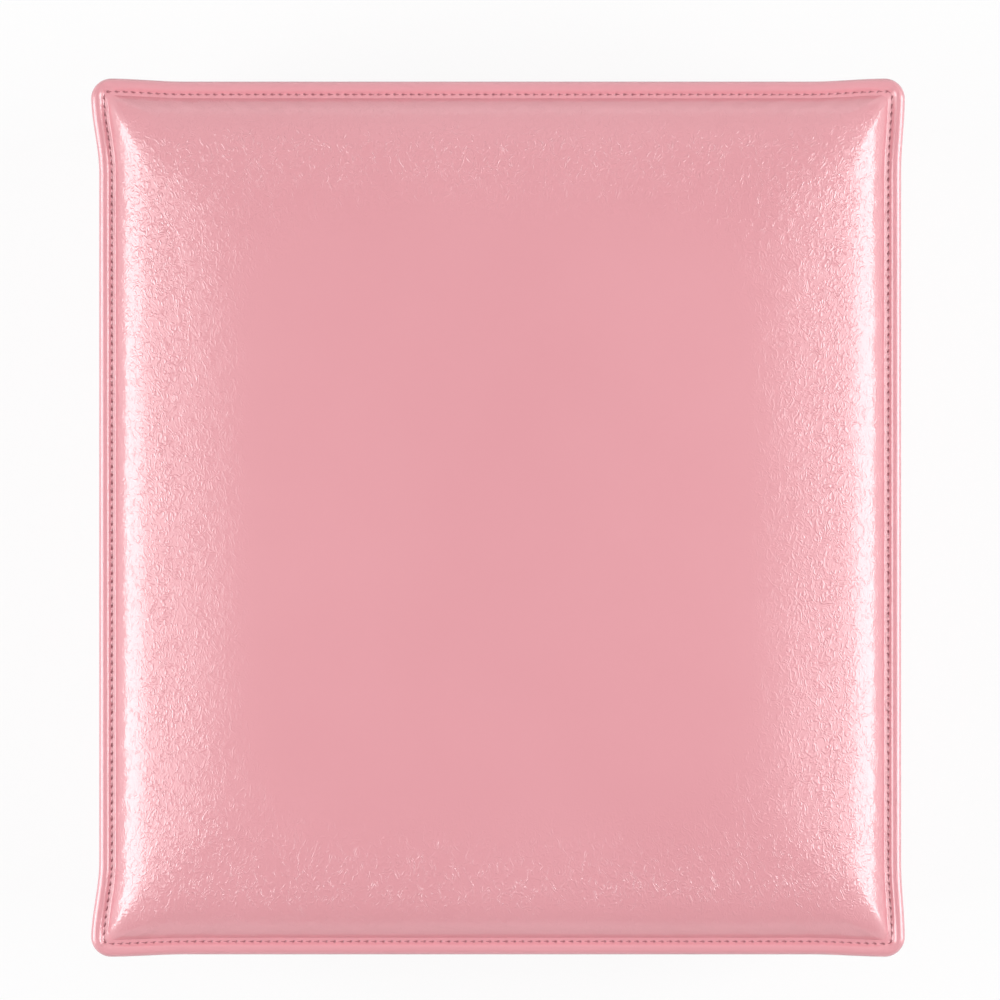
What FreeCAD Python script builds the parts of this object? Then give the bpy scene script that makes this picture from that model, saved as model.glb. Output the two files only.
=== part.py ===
import FreeCAD, Part
import math
import os
import Sketcher

# A leather jewellery case: a board box wrapped in leather, and a hinged lid whose padded leather top
# is sewn to the lid's wall leather along a rolled, top-stitched rim. The back edges of lid and base
# are chamfered about the hinge line, so the lid stops by itself when the two chamfers meet.
# Origin at the middle of the underside, +Z up, hinges at the back (+Y), sizes in millimetres.

SIZES = {
    # Sewn rim and padded top of the lid
    "lid_width": 240.0,
    "lid_depth": 259.0,
    "side_draw_in": 1.5,
    "end_draw_in": 0.75,
    "rim_corner": 6.0,
    "rim_width": 3.9,
    "rim_bead": 3.0,
    "edge_round": 1.2,
    "edge_tuck": 0.4,
    "edge_fall": 0.12,
    "stitch_dip": 0.9,
    "channel_slope": 0.9,
    "pad_margin": 1.8,
    "foot_rise": 0.3,
    "foot_corner": 2.4,
    "crown_run": 62.0,
    "crown_rise": 11.0,
    "crown_corner": 34.0,
    "rim_overhang": 5.0,
    # Sheet and board thicknesses
    "leather": 1.2,
    "wall_board": 10.0,
    "panel_board": 4.0,
    "lining": 1.6,
    "felt": 1.5,
    # Walls of base and lid
    "base_height": 52.0,
    "lid_wall": 22.0,
    "parting_gap": 0.6,
    "wall_corner": 5.0,
    "corner_rebate": 4.0,
    "felt_inset": 9.0,
    "felt_corner": 4.0,
    "felt_margin": 0.4,
    # Hinges and the chamfer that stops the lid
    "hinge_inset": 3.6,
    "stop_angle": 100.0,
    "hinge_from_side": 38.5,
    "leaf_length": 38.0,
    "leaf_width": 5.2,
    "knuckle_radius": 1.7,
    "knuckle_play": 0.1,
    "pin_radius": 0.9,
    "pin_play": 0.05,
    "hinge_clear": 0.3,
    "screw_spacing": 24.0,
    "screw_head": 1.5,
    "screw_shank": 0.8,
    "screw_length": 8.0,
    "screw_play": 0.05,
    # Magnets that hold the lid shut
    "magnet_spacing": 120.0,
    "magnet_radius": 4.0,
    "magnet_height": 2.5,
    "magnet_play": 0.05,
    # Inside of the base
    "divider_thick": 5.0,
    "divider_height": 30.0,
    "divider_housing": 1.5,
    "divider_play": 0.1,
    "ring_bay": 74.0,
    "side_bay": 70.0,
    "roll_height": 24.0,
    "roll_crown": 5.0,
    "roll_gap": 0.4,
    # Mirror in the lid
    "mirror_width": 150.0,
    "mirror_depth": 170.0,
    "mirror_glass": 2.5,
    "mirror_lip": 3.0,
    "mirror_play": 0.2,
    "frame_thick": 4.5,
    "frame_round": 1.5,
    "soft_gap": 0.3,
}
ROLL_COUNT = 5
KNUCKLE_COUNT = 3
CROWN_STEPS = (0.15, 0.3, 0.5, 0.75, 1.0)
FILL_STEPS = (0.15, 0.5, 1.0)
CUTTER_REACH = 1.0
TOLERANCE = 0.01
UPRIGHT = FreeCAD.Vector(1, 0, 0)

doc = FreeCAD.newDocument("JewelleryCase")
sheet = doc.addObject("Spreadsheet::Sheet", "Sizes")
for row, (name, number) in enumerate(SIZES.items(), 1):
    sheet.set(f"A{row}", name)
    sheet.set(f"B{row}", str(number))
    sheet.setAlias(f"B{row}", name)
doc.recompute()

# Half sizes in plan, from the outer leather inwards
HALF_X = "(Sizes.lid_width / 2 - Sizes.side_draw_in - Sizes.rim_overhang)"
HALF_Y = "(Sizes.lid_depth / 2 - Sizes.end_draw_in - Sizes.rim_overhang)"
BOARD_X = f"({HALF_X} - Sizes.leather)"
BOARD_Y = f"({HALF_Y} - Sizes.leather)"
ROOM_X = f"({BOARD_X} - Sizes.wall_board)"
ROOM_Y = f"({BOARD_Y} - Sizes.wall_board)"
INNER_X = f"({ROOM_X} - Sizes.lining)"
INNER_Y = f"({ROOM_Y} - Sizes.lining)"
BOARD_CORNER = "(Sizes.wall_corner - Sizes.leather)"

# Heights, from the underside upwards
BASE_WALLS = "(Sizes.felt + Sizes.panel_board)"
BASE_EDGE = "(Sizes.base_height - Sizes.leather)"
FLOOR = f"({BASE_WALLS} + Sizes.lining)"
LID_BOTTOM = "(Sizes.base_height + Sizes.parting_gap)"
LID_EDGE = f"({LID_BOTTOM} + Sizes.leather)"
RIM = f"({LID_BOTTOM} + Sizes.lid_wall)"
SEAM = f"({RIM} + Sizes.leather)"
LID_PANEL = f"({RIM} - Sizes.panel_board)"
LID_CEILING = f"({LID_PANEL} - Sizes.lining)"

# The hinge line, and the lines that the chamfers either side of it follow
AXIS_Y = f"({HALF_Y} - Sizes.hinge_inset)"
AXIS_Z = "(Sizes.base_height + Sizes.parting_gap / 2)"
SLOPE = "tan(Sizes.stop_angle / 2)"
SLANT = "cos(Sizes.stop_angle / 2)"
LEATHER_CHAMFER = f"(Sizes.hinge_inset * {SLOPE})"
BOARD_CHAMFER = f"((Sizes.hinge_inset - Sizes.leather) * {SLOPE} + Sizes.leather / {SLANT} - Sizes.leather)"
BOARD_CHAMFER_RUN = f"({BOARD_CHAMFER} / {SLOPE})"
LEAF_EDGE = "(Sizes.knuckle_radius + Sizes.hinge_clear)"
HINGE_X = f"({HALF_X} - Sizes.hinge_from_side)"
HINGES = {"left": f"(-{HINGE_X})", "right": HINGE_X}


def value(expression):
    """The number that an expression gives with the sizes in the sheet."""
    result = sheet.evalExpression(expression)
    return float(getattr(result, "Value", result))


def place(piece, x, y, z):
    """Ties a piece's place to three expressions."""
    for axis, expression in zip("xyz", (x, y, z)):
        piece.setExpression(f"Placement.Base.{axis}", expression)


def new_body(label, x="0", y="0", z="0", turn=None):
    """An empty body at a place, turned about an axis by half a turn where one is given."""
    body = doc.addObject("PartDesign::Body", label)
    if turn is not None:
        body.Placement = FreeCAD.Placement(FreeCAD.Vector(), FreeCAD.Rotation(turn, 180))
    place(body, x, y, z)
    return body


def new_sketch(body, name, role="XY_Plane", offset="0"):
    """A sketch on one of the body's own planes, moved along that plane's normal."""
    plane = next(feature for feature in body.Origin.OriginFeatures if feature.Role == role)
    sketch = body.newObject("Sketcher::SketchObject", f"{body.Name}_{name}")
    sketch.AttachmentSupport = [(plane, "")]
    sketch.MapMode = "FlatFace"
    sketch.setExpression("AttachmentOffset.Base.z", offset)
    return sketch


def bind(sketch, constraint, expression):
    """Adds a constraint whose number follows an expression."""
    index = sketch.addConstraint(constraint)
    sketch.setExpression(f"Constraints[{index}]", expression)


def pin_point(sketch, edge, end, x, y):
    """Ties one end, or the centre, of an edge to a place in the sketch."""
    bind(sketch, Sketcher.Constraint("DistanceX", -1, 1, edge, end, value(x)), x)
    bind(sketch, Sketcher.Constraint("DistanceY", -1, 1, edge, end, value(y)), y)


def draw_circle(sketch, x, y, radius):
    centre = FreeCAD.Vector(value(x), value(y), 0)
    edge = sketch.addGeometry(Part.Circle(centre, FreeCAD.Vector(0, 0, 1), value(radius)))
    pin_point(sketch, edge, 3, x, y)
    bind(sketch, Sketcher.Constraint("Radius", edge, value(radius)), radius)


def add_arc(sketch, centre, radius, first, last):
    """An arc, anticlockwise between two angles, with its radius tied to an expression."""
    circle = Part.Circle(centre, FreeCAD.Vector(0, 0, 1), value(radius))
    edge = sketch.addGeometry(Part.ArcOfCircle(circle, first, last))
    bind(sketch, Sketcher.Constraint("Radius", edge, value(radius)), radius)
    return edge


def close_chain(sketch, chain):
    """Joins edges (index, start, finish, x, y) end to end and ties each start to its x and y."""
    for (edge, start, finish, x, y), (following, onset, *_) in zip(chain, chain[1:] + chain[:1]):
        pin_point(sketch, edge, start, x, y)
        sketch.addConstraint(Sketcher.Constraint("Coincident", edge, finish, following, onset))


def draw_profile(sketch, corners):
    """A closed outline, anticlockwise, through corners (x, y), or (x, y, radius) where square edges meet."""
    points = [FreeCAD.Vector(value(corner[0]), value(corner[1]), 0) for corner in corners]
    runs = []
    for index, (x, y, *rounding) in enumerate(corners):
        start = end = (x, y)
        arc = None
        if rounding:
            radius = f"({rounding[0]})"
            before = (points[index] - points[index - 1]).normalize()
            after = (points[(index + 1) % len(points)] - points[index]).normalize()
            start = (f"{x} - ({before.x:.0f}) * {radius}", f"{y} - ({before.y:.0f}) * {radius}")
            end = (f"{x} + ({after.x:.0f}) * {radius}", f"{y} + ({after.y:.0f}) * {radius}")
            centre = points[index] + (after - before) * value(radius)
            arc = (centre, radius, math.atan2(-after.y, -after.x))
        runs.append((start, end, arc))
    chain = []
    for (start, end, arc), (following, *_) in zip(runs, runs[1:] + runs[:1]):
        if arc:
            centre, radius, angle = arc
            edge = add_arc(sketch, centre, radius, angle, angle + math.pi / 2)
            chain.append((edge, 1, 2, *start))
        first = FreeCAD.Vector(value(end[0]), value(end[1]), 0)
        last = FreeCAD.Vector(value(following[0]), value(following[1]), 0)
        chain.append((sketch.addGeometry(Part.LineSegment(first, last)), 1, 2, *end))
    close_chain(sketch, chain)


def draw_rectangle(sketch, left, bottom, right, top):
    draw_profile(sketch, [(left, bottom), (right, bottom), (right, top), (left, top)])


def draw_panel(sketch, half_x, half_y, radius=None):
    """A rectangle about the sketch's centre, with rounded corners where a radius is given."""
    rounding = (radius,) if radius else ()
    signs = ((-1, -1), (1, -1), (1, 1), (-1, 1))
    draw_profile(sketch, [(f"({x}) * {half_x}", f"({y}) * {half_y}", *rounding) for x, y in signs])


def draw_rim(sketch, inset, radius):
    """The lid's outline a distance inside its rim: rounded corners, and sides that bow in between them."""
    half_x = f"(Sizes.lid_width / 2 - ({inset}))"
    half_y = f"(Sizes.lid_depth / 2 - ({inset}))"
    radius = f"({radius})"
    chain = []
    sides = ((half_x, half_y, "Sizes.side_draw_in"), (half_y, half_x, "Sizes.end_draw_in"))
    for quarter in range(4):
        reach, span, bow = sides[quarter % 2]
        angle = quarter * math.pi / 2
        out = FreeCAD.Vector(round(math.cos(angle)), round(math.sin(angle)), 0)
        along = FreeCAD.Vector(-out.y, out.x, 0)
        run = f"({span} - {radius})"
        bend = f"(({run} ^ 2 + {bow} ^ 2) / (2 * {bow}))"
        x_start = f"({out.x:.0f}) * {reach} - ({along.x:.0f}) * {run}"
        y_start = f"({out.y:.0f}) * {reach} - ({along.y:.0f}) * {run}"
        x_end = f"({out.x:.0f}) * {reach} + ({along.x:.0f}) * {run}"
        y_end = f"({out.y:.0f}) * {reach} + ({along.y:.0f}) * {run}"
        lean = math.asin(value(run) / value(bend))
        centre = out * (value(reach) - value(bow) + value(bend))
        side = add_arc(sketch, centre, bend, angle + math.pi - lean, angle + math.pi + lean)
        chain.append((side, 2, 1, x_start, y_start))
        centre = out * (value(reach) - value(radius)) + along * value(run)
        corner = add_arc(sketch, centre, radius, angle, angle + math.pi / 2)
        chain.append((corner, 1, 2, x_end, y_end))
    close_chain(sketch, chain)


def pad(body, sketch, length, against_normal=False):
    feature = body.newObject("PartDesign::Pad", f"{sketch.Name}_pad")
    feature.Profile = sketch
    feature.setExpression("Length", length)
    feature.Reversed = against_normal
    doc.recompute()
    return feature


def pocket(body, sketch, depth, along_normal):
    """Cuts a sketch into the body, and makes sure that the cut took something away."""
    before = body.Shape.Volume
    feature = body.newObject("PartDesign::Pocket", f"{sketch.Name}_pocket")
    feature.Profile = sketch
    feature.setExpression("Length", depth)
    feature.Reversed = along_normal
    doc.recompute()
    if body.Shape.Volume >= before:
        raise RuntimeError(f"{feature.Name} cuts nothing")
    return feature


def dress_edges(body, kind, size_name, size, base, test):
    """Rounds or chamfers the edges of a feature that pass a test."""
    feature = body.newObject(f"PartDesign::{kind}", f"{body.Name}_{kind.lower()}")
    names = [f"Edge{index}" for index, edge in enumerate(base.Shape.Edges, 1) if test(edge)]
    feature.Base = (base, names)
    feature.setExpression(size_name, size)
    doc.recompute()
    return feature


def box(label, x, y, z, length, width, height):
    """A square-edged panel by its lowest corner and its sizes."""
    piece = doc.addObject("Part::Box", label)
    for side, expression in (("Length", length), ("Width", width), ("Height", height)):
        piece.setExpression(side, expression)
    place(piece, x, y, z)
    return piece


def cylinder(label, x, y, z, radius, height):
    piece = doc.addObject("Part::Cylinder", label)
    piece.setExpression("Radius", radius)
    piece.setExpression("Height", height)
    place(piece, x, y, z)
    return piece


def group(label, pieces):
    """Like pieces that share one node and stay separate solids."""
    compound = doc.addObject("Part::Compound", label)
    compound.Links = pieces
    return compound


nodes = []

# Felt sheet under the case
felt = new_body("bottom_felt")
sketch = new_sketch(felt, "outline")
draw_panel(sketch, f"({HALF_X} - Sizes.felt_inset)", f"({HALF_Y} - Sizes.felt_inset)", "Sizes.felt_corner")
pad(felt, sketch, "Sizes.felt")
nodes.append(felt)


def panel(label, z):
    """Top or bottom board, as large as the frame of wall boards that it closes."""
    body = new_body(label, z=z)
    outline = new_sketch(body, "outline")
    draw_panel(outline, BOARD_X, BOARD_Y, BOARD_CORNER)
    pad(body, outline, "Sizes.panel_board")
    nodes.append(body)


panel("bottom_board", "Sizes.felt")
panel("lid_top_board", LID_PANEL)


def end_board(label, y, turn, bottom, height):
    """Front or back wall board, its outer face at local y = 0: rebated ends, rounded outer corners."""
    body = new_body(label, y=y, z=bottom, turn=turn)
    outline = new_sketch(body, "outline")
    shoulder = f"({BOARD_X} - Sizes.wall_board)"
    step = "(Sizes.wall_board - Sizes.corner_rebate)"
    draw_profile(outline, [
        (f"-{BOARD_X}", "0", BOARD_CORNER),
        (BOARD_X, "0", BOARD_CORNER),
        (BOARD_X, step),
        (shoulder, step),
        (shoulder, "Sizes.wall_board"),
        (f"-{shoulder}", "Sizes.wall_board"),
        (f"-{shoulder}", step),
        (f"-{BOARD_X}", step),
    ])
    pad(body, outline, height)
    return body


def side_board(label, x, bottom, height):
    """Left or right wall board, its ends in the rebates of the front and back boards."""
    reach = f"({ROOM_Y} + Sizes.corner_rebate)"
    nodes.append(box(label, x, f"-{reach}", bottom, "Sizes.wall_board", f"2 * {reach}", height))


def wall_boards(half, bottom, height, hinged_at_top):
    """Four boards of the base or the lid, magnet sockets in front and hinge seats at the back."""
    edge = height if hinged_at_top else "0"
    inwards = -1 if hinged_at_top else 1

    front = end_board(f"{half}_front_board", f"-{BOARD_Y}", None, bottom, height)
    sockets = new_sketch(front, "magnet_sockets", offset=edge)
    for x in ("(-Sizes.magnet_spacing / 2)", "(Sizes.magnet_spacing / 2)"):
        draw_circle(sockets, x, "Sizes.wall_board / 2", "Sizes.magnet_radius + Sizes.magnet_play")
    pocket(front, sockets, "Sizes.magnet_height", along_normal=not hinged_at_top)
    nodes.append(front)

    back = end_board(f"{half}_back_board", BOARD_Y, FreeCAD.Vector(0, 0, 1), bottom, height)
    chamfer = new_sketch(back, "stop_chamfer", "YZ_Plane", f"-{BOARD_X}")
    foot = ("0", f"{edge} + ({inwards}) * {BOARD_CHAMFER}")
    head = (BOARD_CHAMFER_RUN, edge)
    corner = ("0", edge)
    draw_profile(chamfer, [foot, head, corner] if hinged_at_top else [corner, head, foot])
    pocket(back, chamfer, f"2 * {BOARD_X}", along_normal=True)
    for side, x in HINGES.items():
        reach = "(Sizes.leaf_length + 2 * Sizes.hinge_clear)"
        mortise = new_sketch(back, f"mortise_{side}", "YZ_Plane", f"{x} - {reach} / 2")
        axis = f"{edge} - ({inwards}) * (Sizes.leather + Sizes.parting_gap / 2)"
        draw_circle(mortise, "Sizes.hinge_inset - Sizes.leather", axis, LEAF_EDGE)
        pocket(back, mortise, reach, along_normal=True)
    pilots = new_sketch(back, "pilot_holes", offset=edge)
    for x in HINGES.values():
        for sign in (-1, 1):
            along = f"{x} + ({sign}) * Sizes.screw_spacing / 2"
            depth = f"Sizes.hinge_inset - Sizes.leather + {LEAF_EDGE} + Sizes.leaf_width / 2"
            draw_circle(pilots, along, depth, "Sizes.screw_shank + Sizes.screw_play")
    pilot_depth = "Sizes.screw_length - Sizes.leather + Sizes.screw_play"
    pocket(back, pilots, pilot_depth, along_normal=not hinged_at_top)
    nodes.append(back)

    side_board(f"{half}_left_board", f"-{BOARD_X}", bottom, height)
    side_board(f"{half}_right_board", ROOM_X, bottom, height)


wall_boards("base", BASE_WALLS, f"{BASE_EDGE} - {BASE_WALLS}", hinged_at_top=True)
wall_boards("lid", LID_EDGE, f"{LID_PANEL} - {LID_EDGE}", hinged_at_top=False)


def hinge_cuts(cutter, origin_z, edge, upwards):
    """Adds to a cutter the windows for the hinge leaves and the round mortises for their barrels."""
    for side, x in HINGES.items():
        reach = "(Sizes.leaf_length + 2 * Sizes.hinge_clear)"
        window = new_sketch(cutter, f"window_{side}", offset=edge)
        near = f"{ROOM_Y} - {CUTTER_REACH}"
        draw_rectangle(window, f"{x} - {reach} / 2", near, f"{x} + {reach} / 2", AXIS_Y)
        pad(cutter, window, f"Sizes.leather + {CUTTER_REACH}", against_normal=not upwards)
        mortise = new_sketch(cutter, f"mortise_{side}", "YZ_Plane", f"{x} - {reach} / 2")
        draw_circle(mortise, AXIS_Y, f"{AXIS_Z} - {origin_z}", LEAF_EDGE)
        pad(cutter, mortise, reach)


def wrap(label, skin, cutter):
    """Leather skin: the wrapped outside less the boards and openings inside it."""
    cut = doc.addObject("Part::Cut", label)
    cut.Base = skin
    cut.Tool = cutter
    nodes.append(cut)


# Leather of the base: round the walls, over their top edge, and under the bottom as far as the felt
base_under = "(Sizes.felt - Sizes.leather)"
skin = new_body("base_skin", z=base_under)
sketch = new_sketch(skin, "outline")
draw_panel(sketch, HALF_X, HALF_Y, "Sizes.wall_corner")
skin_height = f"(Sizes.base_height - {base_under})"
pad(skin, sketch, skin_height)
sketch = new_sketch(skin, "stop_chamfer", "YZ_Plane", f"-{HALF_X}")
chamfer_foot = f"{skin_height} - {LEATHER_CHAMFER}"
draw_profile(sketch, [(HALF_Y, chamfer_foot), (HALF_Y, skin_height), (AXIS_Y, skin_height)])
pocket(skin, sketch, f"2 * {HALF_X}", along_normal=True)

cutter = new_body("base_hollow", z="Sizes.felt")
hollow_height = f"({BASE_EDGE} - Sizes.felt)"
sketch = new_sketch(cutter, "outline")
draw_panel(sketch, BOARD_X, BOARD_Y, BOARD_CORNER)
pad(cutter, sketch, hollow_height)
sketch = new_sketch(cutter, "stop_chamfer", "YZ_Plane", f"-{BOARD_X}")
draw_profile(sketch, [
    (BOARD_Y, f"{hollow_height} - {BOARD_CHAMFER}"),
    (BOARD_Y, hollow_height),
    (f"{BOARD_Y} - {BOARD_CHAMFER_RUN}", hollow_height),
])
pocket(cutter, sketch, f"2 * {BOARD_X}", along_normal=True)
sketch = new_sketch(cutter, "mouth", offset=hollow_height)
draw_panel(sketch, ROOM_X, ROOM_Y)
pad(cutter, sketch, f"Sizes.leather + {CUTTER_REACH}")
sketch = new_sketch(cutter, "felt_window")
felt_edge = "(Sizes.felt_inset - Sizes.felt_margin)"
felt_radius = "Sizes.felt_corner + Sizes.felt_margin"
draw_panel(sketch, f"({HALF_X} - {felt_edge})", f"({HALF_Y} - {felt_edge})", felt_radius)
pad(cutter, sketch, f"Sizes.leather + {CUTTER_REACH}", against_normal=True)
hinge_cuts(cutter, "Sizes.felt", hollow_height, upwards=True)
wrap("base_leather", skin, cutter)

# Leather of the lid's walls, turned in at the parting line and out at the top as the sewing flange
skin = new_body("lid_skin", z=LID_BOTTOM)
sketch = new_sketch(skin, "outline")
draw_panel(sketch, HALF_X, HALF_Y, "Sizes.wall_corner")
pad(skin, sketch, "Sizes.lid_wall + Sizes.leather")
sketch = new_sketch(skin, "flange", offset="Sizes.lid_wall")
draw_rim(sketch, "Sizes.soft_gap", "Sizes.rim_corner")
pad(skin, sketch, "Sizes.leather")
sketch = new_sketch(skin, "stop_chamfer", "YZ_Plane", f"-{HALF_X}")
draw_profile(sketch, [(AXIS_Y, "0"), (HALF_Y, "0"), (HALF_Y, LEATHER_CHAMFER)])
pocket(skin, sketch, f"2 * {HALF_X}", along_normal=True)

cutter = new_body("lid_hollow", z=LID_EDGE)
sketch = new_sketch(cutter, "outline")
draw_panel(sketch, BOARD_X, BOARD_Y, BOARD_CORNER)
pad(cutter, sketch, f"{SEAM} - {LID_EDGE} + {CUTTER_REACH}")
sketch = new_sketch(cutter, "stop_chamfer", "YZ_Plane", f"-{BOARD_X}")
draw_profile(sketch, [(f"{BOARD_Y} - {BOARD_CHAMFER_RUN}", "0"), (BOARD_Y, "0"), (BOARD_Y, BOARD_CHAMFER)])
pocket(cutter, sketch, f"2 * {BOARD_X}", along_normal=True)
sketch = new_sketch(cutter, "mouth")
draw_panel(sketch, ROOM_X, ROOM_Y)
pad(cutter, sketch, f"Sizes.leather + {CUTTER_REACH}", against_normal=True)
hinge_cuts(cutter, LID_EDGE, "0", upwards=False)
wrap("lid_leather", skin, cutter)


def loft(body, name, levels):
    """A straight-ruled loft through outlines of the rim, each (inset, height, corner radius)."""
    sketches = []
    for number, (inset, height, radius) in enumerate(levels):
        section = new_sketch(body, f"{name}_{number}", offset=height)
        draw_rim(section, inset, radius)
        sketches.append(section)
    doc.recompute()
    feature = body.newObject("PartDesign::AdditiveLoft", f"{body.Name}_{name}")
    feature.Profile = sketches[0]
    feature.Sections = sketches[1:]
    feature.Ruled = True
    doc.recompute()


# Padded top: heights are above the seam between the cover and the lid's flange
PAD_FOOT = "(Sizes.rim_width + Sizes.pad_margin)"
CHANNEL = "(Sizes.rim_bead - Sizes.stitch_dip)"
FOOT_HEIGHT = f"({CHANNEL} + Sizes.foot_rise)"
SEAT_INSET = "(Sizes.rim_overhang + Sizes.leather)"


def rim_radius(inset):
    """Corner radius of the rim, which tightens from its edge to the foot of the padding."""
    return f"Sizes.rim_corner - (Sizes.rim_corner - Sizes.foot_corner) * ({inset}) / {PAD_FOOT}"


def crown_step(step):
    """Inset, height and corner radius of the crown's outer face: steep at the foot, level in the middle."""
    inset = f"({PAD_FOOT} + Sizes.crown_run * {step ** 2})"
    height = f"({FOOT_HEIGHT} + Sizes.crown_rise * sin({90 * step}))"
    radius = f"(Sizes.foot_corner + (Sizes.crown_corner - Sizes.foot_corner) * {step})"
    return inset, height, radius


def fill_levels(skin):
    """The filling's outlines (half sizes, height), a thickness inside the cover: the seat, then the crown."""
    levels = [(SEAT_INSET, f"{CHANNEL} - Sizes.leather")]
    for step in FILL_STEPS:
        inset, height, radius = crown_step(step)
        levels.append((f"{inset} + {radius} * (1 - sqrt(0.5)) + Sizes.leather", f"{height} - Sizes.leather"))
    half_x = "(Sizes.lid_width / 2 - Sizes.side_draw_in - ({}) - {})"
    half_y = "(Sizes.lid_depth / 2 - Sizes.end_draw_in - ({}) - {})"
    return [(half_x.format(i, skin), half_y.format(i, skin), f"({h} - {skin})") for i, h in levels]


def draw_seat(sketch, half_x, half_y):
    """The filling's foot: a rectangle with clipped corners, to clear the round corners of the leather."""
    near_x = f"({half_x} - Sizes.foot_corner)"
    near_y = f"({half_y} - Sizes.foot_corner)"
    right = [(near_x, f"-{half_y}"), (half_x, f"-{near_y}"), (half_x, near_y), (near_x, half_y)]
    left = [(f"-{x}", y) for x, y in reversed(right)]
    draw_profile(sketch, right + left)


def fill(body, kind, levels):
    """Adds or takes away the filling's crown as one sloping-sided block for each pair of outlines."""
    for number, (low, high) in enumerate(zip(levels, levels[1:]), 1):
        block = body.newObject(f"PartDesign::{kind}Wedge", f"{body.Name}_block_{number}")
        block.AttachmentSupport = [(body.Origin.OriginFeatures[3], "")]
        block.MapMode = "FlatFace"
        block.AttachmentOffset = FreeCAD.Placement(FreeCAD.Vector(), FreeCAD.Rotation(UPRIGHT, 90))
        for side, sign in (("min", "-"), ("max", "")):
            block.setExpression(f"X{side}", f"{sign}{low[0]}")
            block.setExpression(f"Z{side}", f"{sign}{low[1]}")
            block.setExpression(f"X2{side}", f"{sign}{high[0]}")
            block.setExpression(f"Z2{side}", f"{sign}{high[1]}")
        block.setExpression("Ymin", low[2])
        block.setExpression("Ymax", high[2])
        doc.recompute()


rim_profile = [
    ("Sizes.edge_tuck", "0"),
    ("0", "Sizes.rim_bead / 2"),
    ("Sizes.edge_round", "Sizes.rim_bead - Sizes.edge_fall"),
    ("Sizes.rim_width - Sizes.channel_slope", "Sizes.rim_bead"),
    ("Sizes.rim_width", CHANNEL),
    (PAD_FOOT, FOOT_HEIGHT),
]
cover = new_body("lid_cover", z=SEAM)
rim_levels = [(inset, height, rim_radius(inset)) for inset, height in rim_profile]
loft(cover, "crown", rim_levels + [crown_step(step) for step in CROWN_STEPS])
hollow = fill_levels("0")
sketch = new_sketch(cover, "seat")
draw_panel(sketch, *hollow[0][:2])
pocket(cover, sketch, hollow[0][2], along_normal=True)
fill(cover, "Subtractive", hollow)
nodes.append(cover)

foam = new_body("lid_pad", z=SEAM)
filling = fill_levels("Sizes.soft_gap")
sketch = new_sketch(foam, "seat", offset="-Sizes.leather")
draw_seat(sketch, *filling[0][:2])
pad(foam, sketch, f"{filling[0][2]} + Sizes.leather")
fill(foam, "Additive", filling)
nodes.append(foam)


def lining_walls(half, bottom, height):
    """Four suede covered cards against the insides of the wall boards."""
    for label, y in (("front", f"-{ROOM_Y}"), ("back", INNER_Y)):
        corner = (f"-{ROOM_X}", y, bottom)
        nodes.append(box(f"{half}_lining_{label}", *corner, f"2 * {ROOM_X}", "Sizes.lining", height))
    for label, x in (("left", f"-{ROOM_X}"), ("right", INNER_X)):
        corner = (x, f"-{INNER_Y}", bottom)
        nodes.append(box(f"{half}_lining_{label}", *corner, "Sizes.lining", f"2 * {INNER_Y}", height))


# Suede linings of base and lid
for label, z in (("base_lining_floor", BASE_WALLS), ("lid_lining_top", LID_CEILING)):
    sheet_size = (f"2 * {ROOM_X}", f"2 * {ROOM_Y}", "Sizes.lining")
    nodes.append(box(label, f"-{ROOM_X}", f"-{ROOM_Y}", z, *sheet_size))
lining_walls("base", FLOOR, f"{BASE_EDGE} - {FLOOR}")
lining_walls("lid", LID_EDGE, f"{LID_CEILING} - {LID_EDGE}")

# Partitions: the front one runs from side to side, the others are housed in it and in each other
RING_EDGE = f"(-{INNER_Y} + Sizes.ring_bay)"
DIVIDED = f"({RING_EDGE} + Sizes.divider_thick)"
HALF_THICK = "(Sizes.divider_thick / 2)"
HOUSING = "(Sizes.divider_thick + 2 * Sizes.divider_play)"
DIVIDER_REACH = f"({INNER_X} - Sizes.divider_play)"


def housing(body, name, role, along, depth_from, reach):
    """A groove down a partition's face, as wide as the partition that it holds plus its play."""
    groove = new_sketch(body, name)
    low = f"{along} - {HOUSING} / 2"
    high = f"{along} + {HOUSING} / 2"
    if role == "x":
        draw_rectangle(groove, low, depth_from, high, reach)
    else:
        draw_rectangle(groove, depth_from, low, reach, high)
    pocket(body, groove, "Sizes.divider_height", along_normal=True)


def divider(label, left, near, right, far):
    """A partition by its corners in plan, standing on the floor lining."""
    body = new_body(label, z=FLOOR)
    outline = new_sketch(body, "outline")
    draw_rectangle(outline, left, near, right, far)
    pad(body, outline, "Sizes.divider_height")
    nodes.append(body)
    return body


front = divider("divider_front", f"-{DIVIDER_REACH}", RING_EDGE, DIVIDER_REACH, DIVIDED)
housing(front, "housing", "x", "0", f"{DIVIDED} - Sizes.divider_housing", DIVIDED)
middle_start = f"({DIVIDED} - Sizes.divider_housing + Sizes.divider_play)"
middle_end = f"({INNER_Y} - Sizes.divider_play)"
middle = divider("divider_middle", f"-{HALF_THICK}", middle_start, HALF_THICK, middle_end)
side_y = f"({DIVIDED} + Sizes.side_bay + {HALF_THICK})"
housing(middle, "housing", "y", side_y, f"{HALF_THICK} - Sizes.divider_housing", HALF_THICK)
side_start = f"({HALF_THICK} - Sizes.divider_housing + Sizes.divider_play)"
divider("divider_side", side_start, f"{side_y} - {HALF_THICK}", DIVIDER_REACH, f"{side_y} + {HALF_THICK}")

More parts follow.
